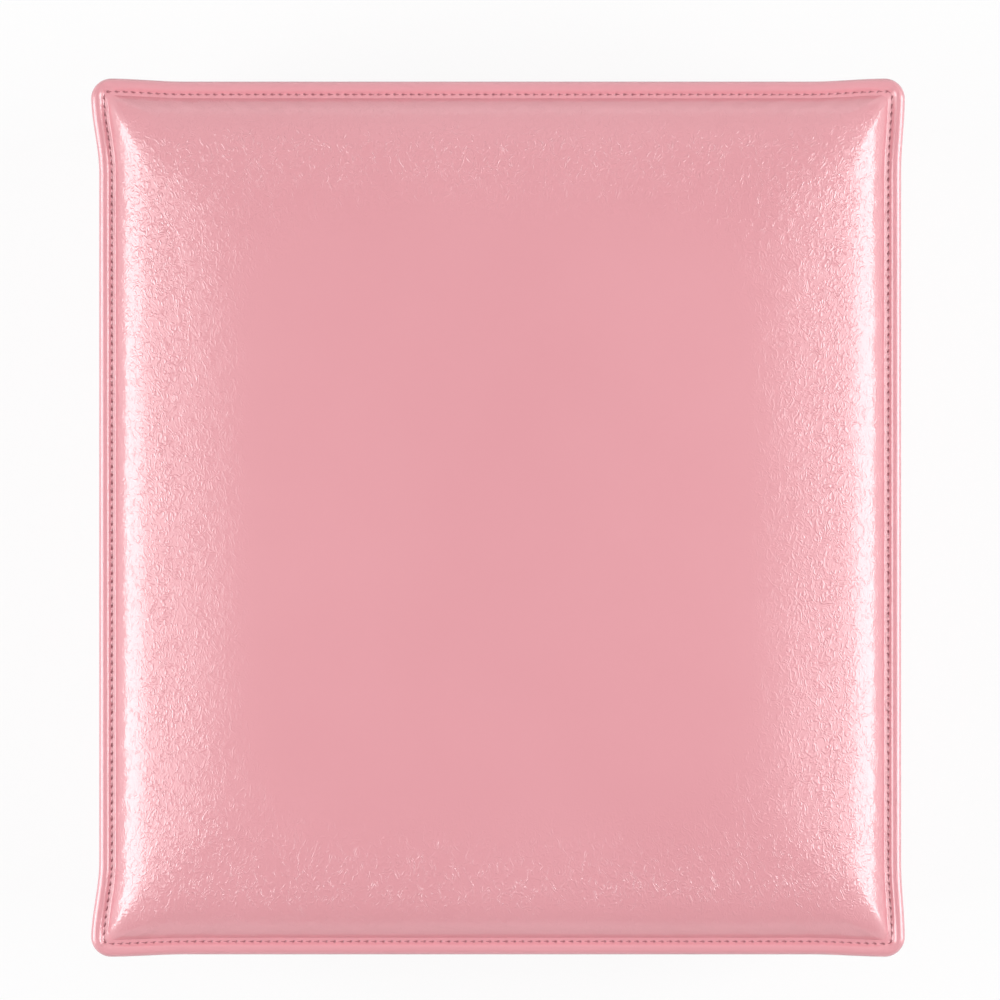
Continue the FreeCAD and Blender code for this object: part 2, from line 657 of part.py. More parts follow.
# Ring rolls: straight-sided bars with an arched top, side by side in the front bay
ROLL_PITCH = f"((Sizes.ring_bay - Sizes.roll_gap) / {ROLL_COUNT})"
ROLL_WIDTH = f"({ROLL_PITCH} - Sizes.roll_gap)"
ROLL_LENGTH = f"(2 * {INNER_X} - 2 * Sizes.roll_gap)"
ROLL_SIDE = "(Sizes.roll_height - Sizes.roll_crown)"
ROLL_BEND = f"((({ROLL_WIDTH} / 2) ^ 2 + Sizes.roll_crown ^ 2) / (2 * Sizes.roll_crown))"


def ring_roll(number):
    y = f"-{INNER_Y} + Sizes.roll_gap + {ROLL_PITCH} * {number - 1} + {ROLL_WIDTH} / 2"
    body = new_body(f"ring_roll_{number}", y=y, z=FLOOR)
    section = new_sketch(body, "section", "YZ_Plane", f"-{ROLL_LENGTH} / 2")
    half = value(f"{ROLL_WIDTH} / 2")
    side = value(ROLL_SIDE)
    lean = math.asin(half / value(ROLL_BEND))
    centre = FreeCAD.Vector(0, value(f"Sizes.roll_height - {ROLL_BEND}"), 0)
    places = [(f"-{ROLL_WIDTH} / 2", "0"), (f"{ROLL_WIDTH} / 2", "0"), (f"{ROLL_WIDTH} / 2", ROLL_SIDE)]
    points = [FreeCAD.Vector(-half, 0, 0), FreeCAD.Vector(half, 0, 0), FreeCAD.Vector(half, side, 0)]
    chain = []
    for (x, height), first, last in zip(places[:2], points, points[1:]):
        chain.append((section.addGeometry(Part.LineSegment(first, last)), 1, 2, x, height))
    crown = add_arc(section, centre, ROLL_BEND, math.pi / 2 - lean, math.pi / 2 + lean)
    chain.append((crown, 1, 2, *places[2]))
    wall = Part.LineSegment(FreeCAD.Vector(-half, side, 0), points[0])
    chain.append((section.addGeometry(wall), 1, 2, f"-{ROLL_WIDTH} / 2", ROLL_SIDE))
    close_chain(section, chain)
    pad(body, section, ROLL_LENGTH)
    nodes.append(body)


for number in range(1, ROLL_COUNT + 1):
    ring_roll(number)

# Mirror and the frame that holds it against the lid's lining
MIRROR_X = "Sizes.mirror_width / 2"
MIRROR_Y = "Sizes.mirror_depth / 2"
frame = new_body("mirror_frame", z=f"{LID_CEILING} - Sizes.frame_thick")
sketch = new_sketch(frame, "outline")
draw_panel(sketch, f"({INNER_X} - Sizes.mirror_play)", f"({INNER_Y} - Sizes.mirror_play)")
pad(frame, sketch, "Sizes.frame_thick")
sketch = new_sketch(frame, "sight")
draw_panel(sketch, f"({MIRROR_X} - Sizes.mirror_lip)", f"({MIRROR_Y} - Sizes.mirror_lip)")
pocket(frame, sketch, "Sizes.frame_thick", along_normal=True)
sketch = new_sketch(frame, "rebate", offset="Sizes.frame_thick")
draw_panel(sketch, f"({MIRROR_X} + Sizes.mirror_play)", f"({MIRROR_Y} + Sizes.mirror_play)")
rebated = pocket(frame, sketch, "Sizes.mirror_glass", along_normal=False)
dress_edges(frame, "Fillet", "Radius", "Sizes.frame_round", rebated,
            lambda edge: edge.BoundBox.ZMax < TOLERANCE)
nodes.append(frame)
mirror_corner = (f"-{MIRROR_X}", f"-{MIRROR_Y}", f"{LID_CEILING} - Sizes.mirror_glass")
nodes.append(box("mirror", *mirror_corner, "Sizes.mirror_width", "Sizes.mirror_depth", "Sizes.mirror_glass"))

# Magnets, flush with the edges of the front boards and covered by the leather
MAGNET_Y = f"-{BOARD_Y} + Sizes.wall_board / 2"
for half, z in (("base", f"{BASE_EDGE} - Sizes.magnet_height"), ("lid", LID_EDGE)):
    discs = []
    for side, sign in (("left", -1), ("right", 1)):
        centre = (f"({sign}) * Sizes.magnet_spacing / 2", MAGNET_Y, z)
        disc = cylinder(f"{half}_magnet_{side}", *centre, "Sizes.magnet_radius", "Sizes.magnet_height")
        discs.append(disc)
    nodes.append(group(f"{half}_magnets", discs))


def hinge_leaf(label, x, sign, own_knuckles):
    """A leaf beside the hinge line, rolled into every other knuckle, with countersunk holes in its plate."""
    body = new_body(label, x=x, y=AXIS_Y, z=AXIS_Z)
    start = "(-Sizes.leaf_length / 2)"
    face = f"(({sign}) * Sizes.parting_gap / 2)"
    back = f"(({sign}) * (Sizes.parting_gap / 2 + Sizes.leather))"
    low, high = (back, face) if sign < 0 else (face, back)
    plate = new_sketch(body, "plate", "YZ_Plane", start)
    draw_rectangle(plate, f"-({LEAF_EDGE} + Sizes.leaf_width)", low, f"-{LEAF_EDGE}", high)
    pad(body, plate, "Sizes.leaf_length")
    for number in own_knuckles:
        step = f"{start} + Sizes.leaf_length / {KNUCKLE_COUNT} * {number} + Sizes.knuckle_play"
        length = f"Sizes.leaf_length / {KNUCKLE_COUNT} - 2 * Sizes.knuckle_play"
        web = new_sketch(body, f"web_{number}", "YZ_Plane", step)
        draw_rectangle(web, f"-{LEAF_EDGE}", low, "0", high)
        pad(body, web, length)
        knuckle = new_sketch(body, f"knuckle_{number}", "YZ_Plane", step)
        draw_circle(knuckle, "0", "0", "Sizes.knuckle_radius")
        pad(body, knuckle, length)
    bore = new_sketch(body, "bore", "YZ_Plane", start)
    draw_circle(bore, "0", "0", "Sizes.pin_radius + Sizes.pin_play")
    pocket(body, bore, "Sizes.leaf_length", along_normal=True)
    holes = new_sketch(body, "holes", offset=face)
    hole = "Sizes.screw_shank + Sizes.screw_play"
    for side in (-1, 1):
        along = f"({side}) * Sizes.screw_spacing / 2"
        draw_circle(holes, along, f"-({LEAF_EDGE} + Sizes.leaf_width / 2)", hole)
    drilled = pocket(body, holes, "Sizes.leather", along_normal=sign > 0)
    face_height = value(face)
    plate_edge = -value(LEAF_EDGE)
    dress_edges(body, "Chamfer", "Size", "Sizes.screw_head - Sizes.screw_shank", drilled,
                lambda edge: isinstance(edge.Curve, Part.Circle) and edge.BoundBox.YMax < plate_edge
                and abs(edge.BoundBox.ZMax - face_height) < TOLERANCE and edge.BoundBox.ZLength < TOLERANCE)
    nodes.append(body)


def screw(label, x, turn, z):
    """A countersunk screw, its head's face at local z = 0 and its shank below."""
    body = new_body(label, x=x, y=f"{AXIS_Y} - ({LEAF_EDGE} + Sizes.leaf_width / 2)", z=z, turn=turn)
    section = new_sketch(body, "section", "XZ_Plane")
    draw_profile(section, [
        ("0", "0"),
        ("0", "-Sizes.screw_length"),
        ("Sizes.screw_shank", "-Sizes.screw_length"),
        ("Sizes.screw_shank", "-(Sizes.screw_head - Sizes.screw_shank)"),
        ("Sizes.screw_head", "0"),
    ])
    turned = body.newObject("PartDesign::Revolution", f"{label}_turned")
    turned.Profile = section
    turned.ReferenceAxis = (section, ["V_Axis"])
    turned.Angle = 360
    doc.recompute()
    return body


# Hinges: two leaves and a pin each, and the screws that hold them
base_knuckles = range(0, KNUCKLE_COUNT, 2)
lid_knuckles = range(1, KNUCKLE_COUNT, 2)
base_screws = []
lid_screws = []
for side, x in HINGES.items():
    hinge_leaf(f"hinge_base_leaf_{side}", x, -1, base_knuckles)
    hinge_leaf(f"hinge_lid_leaf_{side}", x, 1, lid_knuckles)
    pin = new_body(f"hinge_pin_{side}", x=x, y=AXIS_Y, z=AXIS_Z)
    sketch = new_sketch(pin, "section", "YZ_Plane", "-Sizes.leaf_length / 2")
    draw_circle(sketch, "0", "0", "Sizes.pin_radius")
    pad(pin, sketch, "Sizes.leaf_length")
    nodes.append(pin)
    for number, sign in enumerate((-1, 1), 1):
        along = f"{x} + ({sign}) * Sizes.screw_spacing / 2"
        base_screws.append(screw(f"base_screw_{side}_{number}", along, None, "Sizes.base_height"))
        lid_screws.append(screw(f"lid_screw_{side}_{number}", along, FreeCAD.Vector(1, 0, 0), LID_BOTTOM))
nodes.append(group("hinge_base_screws", base_screws))
nodes.append(group("hinge_lid_screws", lid_screws))

doc.recompute()
for item in doc.Objects:
    if "Invalid" in item.State or "Error" in item.State:
        raise RuntimeError(f"{item.Label} failed: {item.State}")
for node in nodes:
    if node.Shape.isNull() or not node.Shape.isValid():
        raise RuntimeError(f"{node.Label} has no valid shape")

os.makedirs("parts", exist_ok=True)
for node in nodes:
    node.Shape.exportStep(f"parts/{node.Label}.step")
    print(f"{node.Label}: {len(node.Shape.Solids)} solid(s), {node.Shape.Volume:.1f} mm3")
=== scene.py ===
import math

import bpy
import numpy as np
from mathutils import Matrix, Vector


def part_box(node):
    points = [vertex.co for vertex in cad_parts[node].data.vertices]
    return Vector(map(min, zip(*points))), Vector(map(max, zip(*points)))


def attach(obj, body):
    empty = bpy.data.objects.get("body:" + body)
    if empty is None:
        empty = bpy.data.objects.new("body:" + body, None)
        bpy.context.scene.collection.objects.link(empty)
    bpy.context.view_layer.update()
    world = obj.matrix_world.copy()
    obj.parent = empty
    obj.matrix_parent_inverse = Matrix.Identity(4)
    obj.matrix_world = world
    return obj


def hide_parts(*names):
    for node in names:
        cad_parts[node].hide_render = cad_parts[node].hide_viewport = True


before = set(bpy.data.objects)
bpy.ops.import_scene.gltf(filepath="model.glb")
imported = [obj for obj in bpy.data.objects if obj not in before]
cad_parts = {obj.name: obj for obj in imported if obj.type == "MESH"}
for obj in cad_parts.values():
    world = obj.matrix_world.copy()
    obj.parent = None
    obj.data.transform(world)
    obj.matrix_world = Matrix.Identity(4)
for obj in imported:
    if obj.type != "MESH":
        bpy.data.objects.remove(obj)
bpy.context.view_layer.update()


# Underside: a sheet of pressed wool felt, glued into the window that the turned-under leather leaves,
# so that the case slides on a table without marking it. Its cut edge is slightly rounded.
MM = 0.001
FELT_EDGE = 0.5 * MM


def linear(hex_colour):
    """An sRGB hex colour as linear red, green, blue and full alpha."""
    parts = [int(hex_colour[index:index + 2], 16) / 255 for index in (1, 3, 5)]
    return [part / 12.92 if part <= 0.04045 else ((part + 0.055) / 1.055) ** 2.4 for part in parts] + [1.0]


def add_node(tree, kind, inputs=None, **settings):
    """Adds a node with its settings; each input is a value or the output socket that feeds it."""
    node = tree.nodes.new(kind)
    for name, setting in settings.items():
        setattr(node, name, setting)
    for name, given in (inputs or {}).items():
        if isinstance(given, bpy.types.NodeSocket):
            tree.links.new(given, node.inputs[name])
        else:
            node.inputs[name].default_value = given
    return node


def new_material(name, **sockets):
    """A material with one surface shader, whose sockets take the numbers that are the same all over."""
    material = bpy.data.materials.new(name)
    material.use_nodes = True
    shader = material.node_tree.nodes["Principled BSDF"]
    for socket, number in sockets.items():
        shader.inputs[socket.replace("_", " ")].default_value = number
    return material, material.node_tree, shader


def finish(pieces, material):
    """Gives CAD nodes or new pieces their material."""
    for piece in pieces:
        if not piece.material_slots:
            piece.data.materials.append(material)
        for slot in piece.material_slots:
            slot.material = material


def grid_faces(rows, columns, loop):
    """Four-cornered faces of a grid of points, row by row; a loop joins the last row to the first."""
    row = np.arange(rows if loop else rows - 1)[:, None]
    column = np.arange(columns - 1)[None, :]
    after = (row + 1) % rows
    corners = [row * columns + column, after * columns + column]
    corners += [after * columns + column + 1, row * columns + column + 1]
    return np.stack(np.broadcast_arrays(*corners), -1).reshape(-1, 4)


def new_object(name, points, faces):
    """Puts points and a list of arrays of faces into an object of its own."""
    mesh = bpy.data.meshes.new(name)
    mesh.from_pydata(points.reshape(-1, 3).tolist(), [], sum((part.tolist() for part in faces), []))
    made = bpy.data.objects.new(name, mesh)
    bpy.context.collection.objects.link(made)
    return made


def new_piece(name, points, faces, material, slot, body, *replaced):
    """A smooth-shaded object that rides on a body, takes its material and stands for CAD nodes.
    The slot is not used.
    """
    piece = new_object(name, points, faces)
    piece.data.polygons.foreach_set("use_smooth", np.ones(len(piece.data.polygons), dtype=bool))
    piece.data.update()
    finish([piece], material)
    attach(piece, body)
    if replaced:
        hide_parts(*replaced)
    return piece


def rounded_block(low, high, radius, edge_steps, flat_steps):
    """A block with rounded edges. Each point of a grid on the six sides moves to the nearest point of a
    block that is smaller by the radius, and then out again by the radius along the line between the two."""
    low, high = np.array(low), np.array(high)
    half = (high - low) / 2
    lines = []
    for reach in half:
        edge = np.linspace(reach - radius, reach, edge_steps + 1)
        flat = np.linspace(radius - reach, reach - radius, flat_steps + 1)
        lines.append(np.concatenate([-edge[:0:-1], flat, edge[1:]]))
    points, faces, count = [], [], 0
    for axis in range(3):
        across, along = lines[(axis + 1) % 3], lines[(axis + 2) % 3]
        for sign in (-1, 1):
            u, v = np.meshgrid(across, sign * along, indexing="ij")
            side = np.stack([np.full_like(u, sign * half[axis]), u, v], -1)
            points.append(np.roll(side, axis, -1).reshape(-1, 3))
            faces.append(grid_faces(len(across), len(along), False) + count)
            count += u.size
    points, faces = np.concatenate(points), np.concatenate(faces)
    core = np.clip(points, radius - half, half - radius)
    way = points - core
    points = core + radius * way / np.linalg.norm(way, axis=1, keepdims=True)
    first, merged = np.unique(np.round(points / MM, 4), axis=0, return_index=True, return_inverse=True)[1:]
    return points[first] + (low + high) / 2, merged.reshape(-1)[faces]


# Pressed wool felt: dull all over, with fibres that lie in every direction and small lighter tufts. The
# fibres are drawn coarser than real ones, so that they show.
felt_wool, tree, shader = new_material("pressed wool felt", Roughness=0.97, Sheen_Weight=0.25)
place = add_node(tree, "ShaderNodeTexCoord").outputs["Object"]
fibre = add_node(tree, "ShaderNodeTexNoise", {"Vector": place, "Scale": 1 / (0.8 * MM), "Detail": 4.0,
                                              "Distortion": 1.2}).outputs["Fac"]
tuft = add_node(tree, "ShaderNodeMapRange", {"Value": fibre, "From Min": 0.3, "From Max": 0.7})
tint = add_node(tree, "ShaderNodeMix", {"Factor": tuft.outputs["Result"], "A": linear("#8d575c"),
                                        "B": linear("#a96f73")}, data_type="RGBA")
tree.links.new(tint.outputs["Result"], shader.inputs["Base Color"])
bump = add_node(tree, "ShaderNodeBump", {"Height": fibre, "Strength": 0.5, "Distance": 0.3 * MM})
tree.links.new(bump.outputs["Normal"], shader.inputs["Normal"])

points, faces = rounded_block(*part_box("bottom_felt"), FELT_EDGE, 3, 10)
new_piece("felt_underside", points, [faces], felt_wool, "felt", "base", "bottom_felt")


# Boards: the carcase of base and lid is cut from fibreboard, glued at rebated corners and closed by thin
# panels. The leather and the linings cover it, so that only its edges show behind the hinge leaves.

# Raw fibreboard: matt, brown, with a fine speckle of wood fibres.
fibreboard, tree, shader = new_material("raw fibreboard", Roughness=0.9)
place = add_node(tree, "ShaderNodeTexCoord").outputs["Object"]
speckle = add_node(tree, "ShaderNodeTexNoise", {"Vector": place, "Scale": 1 / (0.7 * MM),
                                                "Detail": 5.0}).outputs["Fac"]
fleck = add_node(tree, "ShaderNodeMapRange", {"Value": speckle, "From Min": 0.35, "From Max": 0.65})
tint = add_node(tree, "ShaderNodeMix", {"Factor": fleck.outputs["Result"], "A": linear("#8a6d50"),
                                        "B": linear("#ab8d6c")}, data_type="RGBA")
tree.links.new(tint.outputs["Result"], shader.inputs["Base Color"])
bump = add_node(tree, "ShaderNodeBump", {"Height": speckle, "Strength": 0.3, "Distance": 0.1 * MM})
tree.links.new(bump.outputs["Normal"], shader.inputs["Normal"])
finish([node for name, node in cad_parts.items() if name.endswith("_board")], fibreboard)


# Hinges and magnets: pressed brass butt hinges with a brass pin each, screwed into the back boards, and
# nickel-plated discs that are let into the front boards under the leather.

# Polished brass: yellow metal with a faint drawn grain along the leaf and small duller patches. The lines
# of the grain are about 8 mm long and 0.4 mm wide, wider than real ones, so that they show.
brass, tree, shader = new_material("polished brass", Metallic=1.0)
place = add_node(tree, "ShaderNodeTexCoord").outputs["Object"]
drawn = add_node(tree, "ShaderNodeMapping", {"Vector": place, "Scale": (40.0, 900.0, 900.0)})
grain = add_node(tree, "ShaderNodeTexNoise", {"Vector": drawn.outputs["Vector"], "Scale": 3.0, "Detail": 3.0})
patch = add_node(tree, "ShaderNodeTexNoise", {"Vector": place, "Scale": 1 / (6 * MM), "Detail": 2.0})
patch = add_node(tree, "ShaderNodeMapRange", {"Value": patch.outputs["Fac"], "From Min": 0.3,
                                              "From Max": 0.7})
tint = add_node(tree, "ShaderNodeMix", {"Factor": patch.outputs["Result"], "A": linear("#c99a48"),
                                        "B": linear("#dcb264")}, data_type="RGBA")
tree.links.new(tint.outputs["Result"], shader.inputs["Base Color"])
gloss = add_node(tree, "ShaderNodeMapRange", {"Value": grain.outputs["Fac"], "To Min": 0.2, "To Max": 0.36})
tree.links.new(gloss.outputs["Result"], shader.inputs["Roughness"])
finish([node for name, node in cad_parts.items() if name.startswith("hinge_")], brass)

# Nickel plating: bright grey metal, a little clouded by handling.
nickel, tree, shader = new_material("nickel plating", Metallic=1.0, Base_Color=linear("#cfcdc8"))
place = add_node(tree, "ShaderNodeTexCoord").outputs["Object"]
cloud = add_node(tree, "ShaderNodeTexNoise", {"Vector": place, "Scale": 1 / (3 * MM)}).outputs["Fac"]
gloss = add_node(tree, "ShaderNodeMapRange", {"Value": cloud, "To Min": 0.15, "To Max": 0.3})
tree.links.new(gloss.outputs["Result"], shader.inputs["Roughness"])
finish([node for name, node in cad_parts.items() if name.endswith("_magnets")], nickel)


# Linings and partitions: suede glued over card on the insides of base and lid, and over thin boards that
# stand in the base as partitions. The partitions have soft edges where the suede turns over the board.

# Suede: a short brushed nap that lies in pale and dark strokes and glows a little at grazing light. The nap
# is drawn at half a millimetre, coarser than real nap, so that it shows.
suede, tree, shader = new_material("rose suede", Roughness=0.95, Sheen_Weight=0.35, Sheen_Roughness=0.4)
place = add_node(tree, "ShaderNodeTexCoord").outputs["Object"]
stroke = add_node(tree, "ShaderNodeTexNoise", {"Vector": place, "Scale": 1 / (16 * MM), "Detail": 3.0,
                                               "Distortion": 0.8}).outputs["Fac"]
nap = add_node(tree, "ShaderNodeTexNoise", {"Vector": place, "Scale": 1 / (0.5 * MM), "Detail": 3.0})
nap = nap.outputs["Fac"]
blend = add_node(tree, "ShaderNodeMath", {0: nap, 1: 0.35, 2: stroke}, operation="MULTIPLY_ADD")
blend = add_node(tree, "ShaderNodeMapRange", {"Value": blend.outputs["Value"], "From Min": 0.3})
tint = add_node(tree, "ShaderNodeMix", {"Factor": blend.outputs["Result"], "A": linear("#bd8d87"),
                                        "B": linear("#dcb0a9")}, data_type="RGBA")
tree.links.new(tint.outputs["Result"], shader.inputs["Base Color"])
bump = add_node(tree, "ShaderNodeBump", {"Height": nap, "Strength": 0.5, "Distance": 0.15 * MM})
tree.links.new(bump.outputs["Normal"], shader.inputs["Normal"])
finish([node for name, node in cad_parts.items() if "_lining_" in name], suede)

DIVIDER_EDGE = 1.6 * MM
for name in ("front", "middle", "side"):
    points, faces = rounded_block(*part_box(f"divider_{name}"), DIVIDER_EDGE, 5, 12)
    new_piece(f"suede_divider_{name}", points, [faces], suede, "suede", "base", f"divider_{name}")


# Ring rolls: foam bars in suede sleeves, pushed side by side into the front bay so that rings stand in
# the slits between them. The tops are arched, and the sleeves pull in a little between the ends.
# The arch falls with the square of the way across a roll and at its ends, and two waves slacken it.
ROLL_EDGE = 3.4 * MM
ROLL_ARCH = 3.2 * MM
SLEEVE_SLACK = 0.5 * MM
SLEEVE_PULL = 0.35 * MM
for number in range(1, 6):
    low, high = (np.array(corner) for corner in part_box(f"ring_roll_{number}"))
    points, faces = rounded_block(low, high - [0, 0, ROLL_ARCH], ROLL_EDGE, 6, 40)
    middle = (low + high) / 2
    x, y, z = ((points - middle) / ((high - low) / 2)).T
    lift = (points[:, 2] - low[2]) / (high[2] - ROLL_ARCH - low[2])
    slack = SLEEVE_SLACK * np.cos(23 * x + number) * np.cos(9 * x - 2 * number)
    points[:, 2] += lift * (ROLL_ARCH * (1 - y ** 2) * (1 - x ** 12) + np.minimum(slack, 0) * (1 - y ** 2))
    points[:, 1] -= y * SLEEVE_PULL * (1 - x ** 4)
    roll = new_piece(f"suede_ring_roll_{number}", points, [faces], suede, "suede", "base",
                     f"ring_roll_{number}")


# Mirror: a silvered plate in the lid, held at its edges by a suede-covered frame that is padded on its
# face and glued to the lining of the lid.
FRAME_LAP = 3 * MM
FRAME_SWELL = 0.45


def padded_frame(outer, inner, bottom, top, swell):
    """A flat padded frame. A closed section runs round a rectangle with mitred corners: each point of
    the section lies a share of the way from the outer to the inner rectangle, at its own height. Share
    and height are a cosine and a sine raised to small powers, which makes a flat, soft-cornered section."""
    corners = np.array([[1, -1], [1, 1], [-1, 1], [-1, -1]], dtype=float)
    steps = np.linspace(0, 1, 40, endpoint=False)[None, :, None]
    path = (corners[:, None] + steps * (np.roll(corners, -1, 0) - corners)[:, None]).reshape(-1, 1, 2)
    turn = np.linspace(0, 2 * np.pi, 41)
    bow = np.sign(np.cos(turn)) * np.abs(np.cos(turn)) ** 0.3
    share = 0.5 - 0.5 * bow
    height = np.sign(np.sin(turn)) * np.abs(np.sin(turn)) ** swell
    z = (top + bottom) / 2 + (top - bottom) / 2 * height
    plan = path * (np.array(outer) + share[:, None] * (np.array(inner) - np.array(outer)))
    section = np.broadcast_to(z[:, None], plan.shape[:2] + (1,))
    return np.concatenate([plan, section], -1)


low, high = (np.array(corner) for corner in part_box("mirror_frame"))
glass = np.array(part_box("mirror")[1][:2])
points = padded_frame(high[:2], glass - FRAME_LAP, low[2], high[2], FRAME_SWELL)
faces = grid_faces(*points.shape[:2], True)
padding = new_piece("suede_mirror_frame", points, [faces], suede, "suede", "lid", "mirror_frame")

# Silvered glass: a near-perfect reflection, very slightly grey-green and softened by fine polishing marks.
silvered, tree, shader = new_material("silvered glass", Metallic=1.0, Base_Color=linear("#e6e9e7"))
place = add_node(tree, "ShaderNodeTexCoord").outputs["Object"]
haze = add_node(tree, "ShaderNodeTexNoise", {"Vector": place, "Scale": 1 / (25 * MM)}).outputs["Fac"]
gloss = add_node(tree, "ShaderNodeMapRange", {"Value": haze, "To Min": 0.01, "To Max": 0.05})
tree.links.new(gloss.outputs["Result"], shader.inputs["Roughness"])
finish([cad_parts["mirror"]], silvered)


# Wall leather of the base: one long strip glued round the boards, turned over their top edge and under
# the bottom as far as the felt. At the back its edge follows the chamfer beside the hinge line, and it
# is cut away round the two hinges.

# The sizes of a profile are plain millimetres, because a profile is scaled as a whole.
LEATHER = 1.2
EDGE_ROUND = 1.4
TURN_IN = 11.2
TURN_UNDER = 8.6
NEAR_EDGE = 6.0
BASE_TOP = 52.0
WALL_CORNER = 5.0 * MM
LEAST_CORNER = 0.4 * MM
HALF_STOP = np.radians(50)
SOFT_TURN = 0.35 * MM
HINGE_LINE = np.array([120.15, 52.3]) * MM
WINDOWS = np.array([75.0 - 19.3, 75.0 + 19.3]) * MM
LEAF_DEPTH = 0.4 * MM
BARREL = 2.0 * MM
STITCH_INSET = 3.9
HOLE_PHASE = 1.7


def leather(name, stitched):
    """Full-grain leather, dyed pink and lightly glazed: an even colour with faint clouds, and swirling
    folds that break up its soft shine. On a sewn panel the folds fade at the seam and where the middle is
    taut, and there is a small dent at every needle hole, darkened with painted shade. Its UV map counts
    stitches along the seam and millimetres in from the edge. Folds and pores are drawn coarser than real
    ones, so that they show."""
    material, tree, shader = new_material(name, Specular_IOR_Level=1.0, Coat_Weight=1.0, Coat_IOR=1.7,
                                          Coat_Roughness=0.12)
    coordinates = add_node(tree, "ShaderNodeTexCoord")
    place = coordinates.outputs["Object"]
    cloud = add_node(tree, "ShaderNodeTexNoise", {"Vector": place, "Scale": 1 / (55 * MM), "Detail": 2.0})
    cloud = add_node(tree, "ShaderNodeMapRange", {"Value": cloud.outputs["Fac"], "From Min": 0.25,
                                                  "From Max": 0.75})
    tint = add_node(tree, "ShaderNodeMix", {"Factor": cloud.outputs["Result"], "A": linear("#e497a0"),
                                            "B": linear("#e79ba4")}, data_type="RGBA")
    drawn = add_node(tree, "ShaderNodeMapping", {"Vector": place, "Scale": (1.0, 0.7, 1.0)}).outputs["Vector"]
    swirl = add_node(tree, "ShaderNodeTexNoise", {"Vector": drawn, "Scale": 1 / (2.1 * MM), "Detail": 1.0,
                                                  "Distortion": 2.0}).outputs["Fac"]
    fold = add_node(tree, "ShaderNodeMath", {0: swirl, 1: 0.5}, operation="SUBTRACT").outputs["Value"]
    fold = add_node(tree, "ShaderNodeMath", {0: fold}, operation="ABSOLUTE").outputs["Value"]
    crease = add_node(tree, "ShaderNodeMapRange", {"Value": fold, "From Max": 0.28},
                      interpolation_type="SMOOTHSTEP").outputs["Result"]
    pores = add_node(tree, "ShaderNodeTexNoise", {"Vector": place, "Scale": 1 / (0.8 * MM),
                                                  "Detail": 2.0}).outputs["Fac"]
    height = add_node(tree, "ShaderNodeMath", {0: pores, 1: 0.05, 2: crease}, operation="MULTIPLY_ADD")
    height = height.outputs["Value"]
    gloss = add_node(tree, "ShaderNodeMapRange", {"Value": pores, "From Min": 0.3, "From Max": 0.7,
                                                  "To Min": 0.44, "To Max": 0.54}).outputs["Result"]
    if stitched:
        along = add_node(tree, "ShaderNodeSeparateXYZ", {"Vector": coordinates.outputs["UV"]})
        inset = along.outputs["Y"]
        pulled = add_node(tree, "ShaderNodeMapRange", {"Value": inset, "From Min": 4.0, "From Max": 19.0,
                                                       "To Min": 0.12, "To Max": 1.0}).outputs["Result"]
        taut = add_node(tree, "ShaderNodeMapRange", {"Value": inset, "From Min": 20.0, "From Max": 48.0,
                                                     "To Min": 1.0, "To Max": 0.03}).outputs["Result"]
        taut = add_node(tree, "ShaderNodeMath", {0: pulled, 1: taut}, operation="MINIMUM").outputs["Value"]
        height = add_node(tree, "ShaderNodeMath", {0: height, 1: taut}, operation="MULTIPLY").outputs["Value"]
        wave = add_node(tree, "ShaderNodeMath", {0: along.outputs["X"], 1: 2 * math.pi, 2: HOLE_PHASE},
                        operation="MULTIPLY_ADD").outputs["Value"]
        hole = add_node(tree, "ShaderNodeMath", {0: wave}, operation="COSINE").outputs["Value"]
        hole = add_node(tree, "ShaderNodeMapRange", {"Value": hole, "From Min": 0.35}).outputs["Result"]
        beside = add_node(tree, "ShaderNodeMath", {0: inset, 1: STITCH_INSET}, operation="SUBTRACT")
        beside = add_node(tree, "ShaderNodeMath", {0: beside.outputs["Value"]}, operation="ABSOLUTE")
        near = add_node(tree, "ShaderNodeMapRange", {"Value": beside.outputs["Value"], "From Min": 0.35,
                                                     "From Max": 0.05}).outputs["Result"]
        dent_and_hole_shade = add_node(tree, "ShaderNodeMath", {0: hole, 1: near}, operation="MULTIPLY").outputs["Value"]
        height = add_node(tree, "ShaderNodeMath", {0: dent_and_hole_shade, 1: -3.0, 2: height}, operation="MULTIPLY_ADD")
        height = height.outputs["Value"]
        # Painted shade: each needle hole is darkened to a deep rose, in place of the shadow inside the hole.
        tint = add_node(tree, "ShaderNodeMix", {"Factor": dent_and_hole_shade, "A": tint.outputs["Result"],
                                                "B": linear("#a45c68")}, data_type="RGBA")
    tree.links.new(tint.outputs["Result"], shader.inputs["Base Color"])
    tree.links.new(gloss, shader.inputs["Roughness"])
    bump = add_node(tree, "ShaderNodeBump", {"Height": height, "Strength": 1.0, "Distance": 0.11 * MM})
    for socket in ("Normal", "Coat Normal"):
        tree.links.new(bump.outputs["Normal"], shader.inputs[socket])
    return material


def quarter(centre, radius, first, last):
    """Points (inset, height) on an arc: the centre plus the radius times cosine and sine of each angle,
    between two angles in degrees."""
    angle = np.radians(np.linspace(first, last, 9))
    return np.stack([centre[0] + radius * np.cos(angle), centre[1] + radius * np.sin(angle)], -1)


def line(first, last, steps):
    """Points on a straight run, without its last one."""
    return np.linspace(first, last, steps, endpoint=False)


